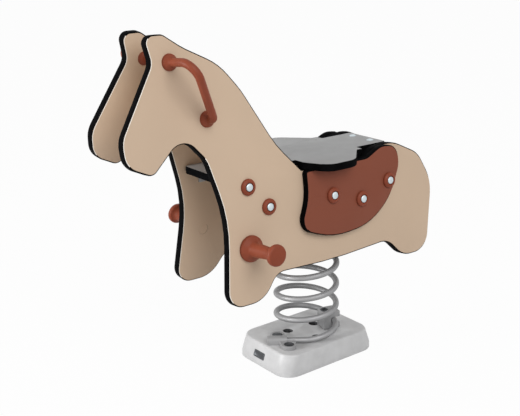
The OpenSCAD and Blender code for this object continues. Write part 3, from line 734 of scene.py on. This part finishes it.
def board(name, node, place, holes, finishes, rounding):
    """A cut board with rounded edges, whose facets take the finish of the face, the rim or the core; the rim and
    the widened core are painted highlight and painted shade.
    """
    back = place.inverted()
    turned = back.to_3x3()

    def at_hole(edge):
        spot = (back @ ((edge.verts[0].co + edge.verts[1].co) / 2)).xy
        return any((spot - Vector(hole)).length < HOLE_REACH for hole in holes)

    bm = softened(node, rounding, segments=3, spare=at_hole)
    bm.normal_update()
    for face in bm.faces:
        face.material_index = edge_finish(turned @ face.normal)
    piece(name, bm, finishes, "rider", [node], smooth=20.0)


def keep_solid(finish, *nodes):
    """Gives carried-over solids their finish."""
    for node in nodes:
        for holder in frame["nodes"][node].material_slots:
            holder.material = finish


def need(condition, words):
    """Stops the operator with a plain message unless the condition holds."""
    if not condition:
        raise RuntimeError(words)


# Operators


class RIDER_OT_side_boards(bpy.types.Operator):
    """Two horse-shaped side boards, tan faces over a black core"""
    bl_idname = "rider.side_boards"
    bl_label = "Side boards"

    def execute(self, context):
        settings = context.scene.rider_boards
        finishes = [
            board_face("tan board", settings.tan),
            # Painted highlight: pale rim colour on the rounded front edges
            board_face("tan rim", settings.tan_highlight_rim),
            board_core("black core", settings.core),
        ]
        holes = CHEST_BOLTS + FLAP_BOLTS + (HANDLE_TOP, HANDLE_LOW, PEG_AT)
        for side, sign in SIDES:
            board(side + "_side_board", side + "_panel", side_frame(sign), holes, finishes,
                  settings.rounding)
        return {"FINISHED"}


class RIDER_OT_saddle_flaps(bpy.types.Operator):
    """Two saddle flaps on the outside of the side boards"""
    bl_idname = "rider.saddle_flaps"
    bl_label = "Saddle flaps"

    def execute(self, context):
        settings = context.scene.rider_boards
        finishes = [
            board_face("terracotta board", settings.terracotta),
            board_face("terracotta rim", settings.terracotta_edge),
            board_core("black core", settings.core),
        ]
        for side, sign in SIDES:
            board(side + "_flap_board", side + "_saddle_flap", side_frame(sign), FLAP_BOLTS, finishes,
                  settings.rounding)
        return {"FINISHED"}


class RIDER_OT_seat(bpy.types.Operator):
    """Flat seat with its wings, tail and tongue, and its low domed bolts"""
    bl_idname = "rider.seat"
    bl_label = "Seat"

    def execute(self, context):
        settings = context.scene.rider_boards
        finishes = [
            board_face("grey board", settings.grey),
            # Painted highlight: lighter rim colour on the rounded front edges
            board_face("grey rim", settings.grey_highlight_rim),
            board_core("black core", settings.core),
        ]
        board("seat", "seat_board", Matrix.Identity(4), SEAT_BOLTS, finishes,
              settings.seat_rounding)
        profile = bolt_profile(SEAT_SHANK_R, SEAT_SHANK_L, 0.0, SEAT_HEAD_RIM, SEAT_HEAD_CROWN)
        bm = bmesh.new()
        for x, y in SEAT_BOLTS:
            add_turned(bm, profile, Matrix.Translation((x, y, SEAT_TOP)))
        bright = bright_bolts(context.scene.rider_steel)
        piece("seat_dome_bolts", bm, [bright], "rider", ["seat_bolts"])
        return {"FINISHED"}


class RIDER_OT_handles(bpy.types.Operator):
    """Two bent handles with flared feet, and the caps inside the head"""
    bl_idname = "rider.handles"
    bl_label = "Handles"

    def execute(self, context):
        settings = context.scene.rider_grips
        finish = moulded("terracotta grip", settings.colour)
        top = Vector(HANDLE_TOP)
        chord = Vector(HANDLE_LOW) - top
        corners = [
            (0.0, 0.0, 0.0), (0.0, settings.reach, UPPER_BEND), (chord.length, settings.low, LOWER_BEND),
            (chord.length, 0.0, 0.0)]
        course = even_course(filleted(corners, steps=16), HANDLE_STEP)
        last = len(course) - 1
        need(HANDLE_STEP * last > 2 * HANDLE_FLARE[-1][0], "The handle is too short for its feet.")
        shares = [read_curve(HANDLE_FLARE, HANDLE_STEP * min(i, last - i)) for i in range(len(course))]
        radii = [max(settings.bar, settings.foot * share) / 2 for share in shares]
        along = chord.normalized()
        for side, sign in SIDES:
            place = side_frame(sign)
            path = [place @ Vector((top.x + along.x * p.x, top.y + along.y * p.x, p.y)) for p in course]
            bm = bmesh.new()
            add_tube(bm, path, radii, sides=28)
            piece(side + "_grip_bar", bm, [finish], "rider", [side + "_handle"],
                  smooth=50.0)
        bm = bmesh.new()
        for side, sign in SIDES:
            for spot in (HANDLE_TOP, HANDLE_LOW):
                add_cap(bm, board_spot(sign, spot, -BOARD_T))
        piece("head_inner_caps", bm, [finish], "rider", ["handle_bolt_caps"],
              smooth=50.0)
        return {"FINISHED"}


class RIDER_OT_foot_pegs(bpy.types.Operator):
    """Two foot pegs with a round foot and an end knob, and the flush plugs over their bolts"""
    bl_idname = "rider.foot_pegs"
    bl_label = "Foot pegs"

    def execute(self, context):
        settings = context.scene.rider_grips
        finish = moulded("terracotta grip", settings.colour)
        profile = filleted_profile(self.peg_corners(settings.peg), steps=8)
        for side, sign in SIDES:
            bm = bmesh.new()
            add_turned(bm, profile, board_spot(sign, PEG_AT), sides=56)
            piece(side + "_peg", bm, [finish], "rider", [side + "_foot_peg"],
                  smooth=50.0)
        bm = bmesh.new()
        for side, sign in SIDES:
            add_turned(bm, self.plug_profile(), board_spot(sign, PEG_AT, -BOARD_T), sides=48)
        tan = board_face("tan board", context.scene.rider_boards.tan)
        piece("chest_flush_plugs", bm, [tan], "rider", ["peg_bolt_plugs"], smooth=30.0)
        return {"FINISHED"}

    def peg_corners(self, length):
        """Corners of a peg from the board to its end, with the radius of each fillet."""
        knob = length - PEG_KNOB_L
        return [
            (0.0, 0.0, 0.0),
            (PEG_FOOT_R, 0.0, 0.0012),
            (PEG_FOOT_R, PEG_FOOT_T, 0.0055),
            (PEG_NECK_IN_R, PEG_FLARE_H, 0.008),
            (PEG_NECK_OUT_R, knob - PEG_KNOB_FLARE, 0.014),
            (PEG_KNOB_R, knob, 0.006),
            (PEG_KNOB_R, length - PEG_KNOB_CROWN, 0.006),
            (0.0, length, 0.0),
        ]

    def plug_profile(self):
        """Profile of a plug from its back to its face, which lies flush in the board."""
        return [
            (0.0, PLUG_T),
            (PLUG_R - PLUG_BACK_EDGE, PLUG_T),
            (PLUG_R, PLUG_T - PLUG_BACK_EDGE),
            (PLUG_R, PLUG_EDGE),
            (PLUG_R - PLUG_EDGE, 0.0),
            (GROOVE_R + GROOVE_HALF, 0.0),
            (GROOVE_R, PLUG_EDGE),
            (GROOVE_R - GROOVE_HALF, 0.0),
            (0.0, 0.0),
        ]


class RIDER_OT_collared_bolts(bpy.types.Operator):
    """Five collared bolts on each side, two in the chest and three through the flap"""
    bl_idname = "rider.collared_bolts"
    bl_label = "Collared bolts"

    def execute(self, context):
        grips = context.scene.rider_grips
        bright = bright_bolts(context.scene.rider_steel)
        nylon = moulded("terracotta collar", grips.colour)
        collar = filleted_profile(self.collar_corners(grips.collar / 2), steps=5)
        spots = [(spot, 0.0) for spot in CHEST_BOLTS] + [(spot, FLAP_T) for spot in FLAP_BOLTS]
        for side, sign in SIDES:
            collars = bmesh.new()
            bolts = bmesh.new()
            for spot, lift in spots:
                bolt = bolt_profile(
                    PANEL_SHANK_R, PANEL_SHANK_L, lift + WELL_FLOOR, PANEL_HEAD_RIM, PANEL_HEAD_CROWN)
                add_turned(collars, collar, board_spot(sign, spot, lift))
                add_turned(bolts, bolt, board_spot(sign, spot))
            piece(side + "_collars", collars, [nylon], "rider",
                  [side + "_bolt_collars"], smooth=50.0)
            piece(side + "_dome_bolts", bolts, [bright], "rider", [side + "_panel_bolts"])
        return {"FINISHED"}

    def collar_corners(self, outer):
        """Corners of a collar round from its bore, with the radius of each fillet."""
        return [
            (COLLAR_BORE_R, 0.0, 0.0),
            (outer, 0.0, 0.0008),
            (outer, COLLAR_WALL_H, 0.004),
            (COLLAR_TOP_R, COLLAR_H, 0.003),
            (WELL_R, COLLAR_H, 0.0008),
            (WELL_R, WELL_FLOOR, 0.0008),
            (COLLAR_BORE_R, WELL_FLOOR, 0.0),
        ]


class RIDER_OT_steelwork(bpy.types.Operator):
    """Brackets, plates, nuts and hidden bolts between the side boards"""
    bl_idname = "rider.steelwork"
    bl_label = "Steelwork"

    def execute(self, context):
        settings = context.scene.rider_steel
        plain = galvanised(settings)
        zinc = zinc_fixings(settings)
        brackets = (
            ("spring_top_plate", "spring_head_plate"),
            ("left_spring_bracket", "left_plate_bracket"),
            ("right_spring_bracket", "right_plate_bracket"),
            ("rear_seat_bracket", "rear_seat_strap"),
            ("front_seat_bracket", "front_seat_strap"),
        )
        fixings = (
            ("seat_nuts", "seat_hex_nuts"),
            ("left_panel_nuts", "left_hex_nuts"),
            ("right_panel_nuts", "right_hex_nuts"),
            ("bracket_bolts", "plate_bolts"),
        )
        for node, name in brackets:
            bm = softened(node, settings.folded_edge)
            piece(name, bm, [plain], "rider", [node], smooth=24.0)
        for node, name in fixings:
            bm = softened(node, settings.nut_edge)
            piece(name, bm, [zinc], "rider", [node], smooth=24.0)
        keep_solid(zinc, "handle_bolts", "peg_bolts")
        return {"FINISHED"}


class RIDER_OT_spring(bpy.types.Operator):
    """Coil spring of round wire, in two lengths that meet at the rocking point"""
    bl_idname = "rider.spring"
    bl_label = "Spring"

    def execute(self, context):
        settings = context.scene.rider_spring
        finish = spring_coat(settings)
        path = spring_course(settings)
        split = next((i for i, point in enumerate(path) if point.z >= ROCK_Z), 0)
        need(split > TAIL_LOW_STEPS, "The spring doesn't cross the rocking point.")
        lengths = (
            ("spring_lower_coils", path[:split + 1], "anchor", "spring", LOWER_BEND_Z),
            ("spring_upper_coils", path[split:], "spring", "rider", UPPER_BEND_Z),
        )
        for name, course, low, high, (start, end) in lengths:
            bm = bmesh.new()
            add_tube(bm, course, [settings.wire / 2] * len(course))
            obj = piece(name, bm, [finish], None, ["spring"], smooth=60.0)
            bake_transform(obj)
        return {"FINISHED"}


class RIDER_OT_base(bpy.types.Operator):
    """Cast base, its spring clamps and bolts, the ground plate and a blank label plate"""
    bl_idname = "rider.base"
    bl_label = "Base"

    def execute(self, context):
        settings = context.scene.rider_spring
        steel = context.scene.rider_steel
        dark = dark_bolts(steel)
        self.add_shell(settings, steel)
        self.add_clamps(settings)
        for node, name, body in (
                ("lower_clamp_bolts", "lower_block_bolts", "anchor"),
                ("upper_clamp_bolts", "upper_block_bolts", "rider")):
            bm = softened(node, steel.bolt_edge)
            piece(name, bm, [dark], body, [node], smooth=30.0)
        bm = softened("ground_plate", steel.folded_edge)
        piece("ground_foot_plate", bm, [galvanised(steel)], "anchor", ["ground_plate"],
              smooth=30.0)
        keep_solid(zinc_fixings(steel), "ground_plate_screws")
        self.add_label(dark)
        return {"FINISHED"}

    def add_shell(self, settings, steel):
        """The base, coated outside, with painted shade in its sunk anchor holes."""
        coat = cast_coat("grey base coat", settings.base_coat)
        anchors = anchor_places()
        bm = softened("base_casting", settings.base_edge)
        for face in bm.faces:
            spot = face.calc_center_median()
            sunk = spot.z < BASE_TOP - SOCKET_DEPTH
            inside = any((spot.xy - anchor).length < SOCKET_R for anchor in anchors)
            # Painted shade: the sunk faces of the anchor holes take a near-black metal
            face.material_index = 1 if sunk and inside else 0
        finishes = [coat, socket_shade(steel)]
        piece("base_shell", bm, finishes, "anchor", ["base_casting"], smooth=32.0)

    def add_clamps(self, settings):
        """The clamps at both ends of the spring, whose inner corners stay sharp."""
        # Painted shade: the clamps' coat is a darker copy of the base's
        coat = cast_coat("grey clamp coat", settings.clamp_coat)
        for node, name, body, edge in (
                ("lower_end_clamp", "lower_end_block", "anchor", settings.fine_edge),
                ("lower_side_clamp", "lower_side_block", "anchor", settings.soft_edge),
                ("upper_end_clamp", "upper_end_block", "rider", settings.fine_edge),
                ("upper_side_clamp", "upper_side_block", "rider", settings.soft_edge)):
            bm = softened(node, edge, segments=3, spare=inner_edge)
            piece(name, bm, [coat], body, [node], smooth=32.0)

    def add_label(self, finish):
        """A bare plate on the base's leaning front end, with a raised rim."""
        place = Matrix.Identity(4)
        place.col[0][:3] = (0.0, -1.0, 0.0)
        place.col[1][:3] = (math.sin(BASE_LEAN), 0.0, math.cos(BASE_LEAN))
        place.col[2][:3] = (-math.cos(BASE_LEAN), 0.0, math.sin(BASE_LEAN))
        place.translation = LABEL_AT
        bm = bmesh.new()
        rings = []
        for grow, height in LABEL_RIM:
            outline = rounded_box(LABEL_HALF_W + grow, LABEL_HALF_H + grow, LABEL_CORNER + grow / 2)
            rings.append([bm.verts.new(place @ Vector((x, y, height))) for x, y in outline])
        close_rings(bm, rings)
        piece("blank_label_plate", bm, [finish], "anchor")


class RIDER_OT_stage(bpy.types.Operator):
    """Pale floor, soft light and the camera"""
    bl_idname = "rider.stage"
    bl_label = "Stage"

    def execute(self, context):
        scene = context.scene
        settings = scene.rider_stage
        scene.view_settings.view_transform = "Standard"
        self.add_floor(scene, settings)
        self.add_sky(scene, settings)
        aim = Vector(settings.lamp_aim)
        self.add_lamp(scene, "key light", Vector(settings.key_at), aim, settings.key_size, settings.key)
        self.add_lamp(scene, "fill light", Vector(settings.fill_at), aim, settings.fill_size, settings.fill)
        self.add_camera(scene, settings)
        return {"FINISHED"}

    def add_floor(self, scene, settings):
        """A wide floor that looks nearly white and keeps the object's shadow."""
        mesh = bpy.data.meshes.new("floor")
        corners = [(x * FLOOR_REACH, y * FLOOR_REACH, 0.0) for x, y in QUARTERS]
        mesh.from_pydata(corners, [], [range(len(corners))])
        floor = bpy.data.objects.new("floor", mesh)
        floor.location = (0.0, 0.0, -FLOOR_DROP)
        scene.collection.objects.link(floor)
        paint = bpy.data.materials.new("pale floor")
        paint.use_nodes = True
        tree = paint.node_tree
        shader = tree.nodes["Principled BSDF"]
        set_inputs(shader, Base_Color=list(settings.floor) + [1.0], Roughness=0.9, Specular_IOR_Level=0.0)
        white = tree.nodes.new("ShaderNodeEmission")
        set_inputs(white, Strength=1.0)
        share = tree.nodes.new("ShaderNodeMath")
        share.operation = "MULTIPLY"
        share.inputs[1].default_value = settings.floor_white
        tree.links.new(self.seen_rays(tree), share.inputs[0])
        self.mix_shaders(tree, share.outputs[0], shader, white, "Material Output")
        mesh.materials.append(paint)

    def add_sky(self, scene, settings):
        """An even sky that looks white."""
        world = bpy.data.worlds.new("even sky")
        world.use_nodes = True
        tree = world.node_tree
        even = tree.nodes["Background"]
        white = tree.nodes.new("ShaderNodeBackground")
        set_inputs(even, Color=(1.0, 1.0, 1.0, 1.0), Strength=settings.sky)
        set_inputs(white, Color=(1.0, 1.0, 1.0, 1.0), Strength=1.0)
        self.mix_shaders(tree, self.seen_rays(tree), even, white, "World Output")
        scene.world = world

    def seen_rays(self, tree):
        """1 for what the camera sees directly, in a mirror or through glass."""
        path = tree.nodes.new("ShaderNodeLightPath")
        seen = path.outputs["Is Camera Ray"]
        for ray in ("Is Glossy Ray", "Is Transmission Ray"):
            either = tree.nodes.new("ShaderNodeMath")
            either.operation = "MAXIMUM"
            tree.links.new(seen, either.inputs[0])
            tree.links.new(path.outputs[ray], either.inputs[1])
            seen = either.outputs[0]
        return seen

    def mix_shaders(self, tree, share, first, second, output):
        """Leads two shaders to the output, by the share of the second."""
        blend = tree.nodes.new("ShaderNodeMixShader")
        tree.links.new(share, blend.inputs[0])
        tree.links.new(first.outputs[0], blend.inputs[1])
        tree.links.new(second.outputs[0], blend.inputs[2])
        tree.links.new(blend.outputs[0], tree.nodes[output].inputs["Surface"])

    def add_lamp(self, scene, name, place, aim, size, power):
        """A round soft lamp that shines at a point."""
        lamp = bpy.data.lights.new(name, "AREA")
        lamp.shape = "DISK"
        lamp.size = size
        lamp.energy = power
        obj = bpy.data.objects.new(name, lamp)
        obj.location = place
        obj.rotation_euler = (aim - place).to_track_quat("-Z", "Y").to_euler()
        obj.visible_camera = False
        scene.collection.objects.link(obj)

    def add_camera(self, scene, settings):
        """The camera, from its place, its turn, its tilt and its roll."""
        camera = bpy.data.cameras.new("camera")
        camera.sensor_fit = "HORIZONTAL"
        camera.sensor_width = settings.sensor
        camera.lens = settings.lens
        eye = bpy.data.objects.new("camera", camera)
        turn, tip = settings.azimuth, settings.elevation
        right = Vector((math.cos(turn), math.sin(turn), 0.0))
        back = Vector((math.sin(turn) * math.cos(tip), -math.cos(turn) * math.cos(tip), math.sin(tip)))
        look = Matrix((right, back.cross(right), back)).transposed()
        look = look @ Matrix.Rotation(settings.roll, 3, "Z")
        eye.matrix_world = Matrix.Translation(settings.camera_at) @ look.to_4x4()
        scene.collection.objects.link(eye)
        scene.camera = eye


class RIDER_PT_sidebar(bpy.types.Panel):
    """Lists the rider's pieces and settings"""
    bl_idname = "RIDER_PT_sidebar"
    bl_label = "Spring rider"
    bl_space_type = "VIEW_3D"
    bl_region_type = "UI"
    bl_category = "Spring rider"

    def draw(self, context):
        for operator in OPERATORS:
            self.layout.operator(operator.bl_idname)
        for name, group in SETTINGS:
            column = self.layout.column()
            column.label(text=group.__doc__)
            for field in group.__annotations__:
                column.prop(getattr(context.scene, name), field)


SETTINGS = (
    ("rider_boards", BoardSettings),
    ("rider_grips", GripSettings),
    ("rider_spring", SpringSettings),
    ("rider_steel", SteelSettings),
    ("rider_stage", StageSettings),
)
OPERATORS = (
    RIDER_OT_stage,
    RIDER_OT_side_boards,
    RIDER_OT_saddle_flaps,
    RIDER_OT_seat,
    RIDER_OT_handles,
    RIDER_OT_foot_pegs,
    RIDER_OT_collared_bolts,
    RIDER_OT_steelwork,
    RIDER_OT_spring,
    RIDER_OT_base,
)


def register():
    for name, group in SETTINGS:
        bpy.utils.register_class(group)
        setattr(bpy.types.Scene, name, PointerProperty(type=group))
    for operator in OPERATORS:
        bpy.utils.register_class(operator)
    bpy.utils.register_class(RIDER_PT_sidebar)


def unregister():
    bpy.utils.unregister_class(RIDER_PT_sidebar)
    for operator in reversed(OPERATORS):
        bpy.utils.unregister_class(operator)
    for name, group in reversed(SETTINGS):
        delattr(bpy.types.Scene, name)
        bpy.utils.unregister_class(group)


def main():
    register()
    bpy.ops.rider.stage()
    bpy.ops.rider.side_boards()
    bpy.ops.rider.saddle_flaps()
    bpy.ops.rider.seat()
    bpy.ops.rider.handles()
    bpy.ops.rider.foot_pegs()
    bpy.ops.rider.collared_bolts()
    bpy.ops.rider.steelwork()
    bpy.ops.rider.spring()
    bpy.ops.rider.base()


if __name__ == "__main__":
    main()
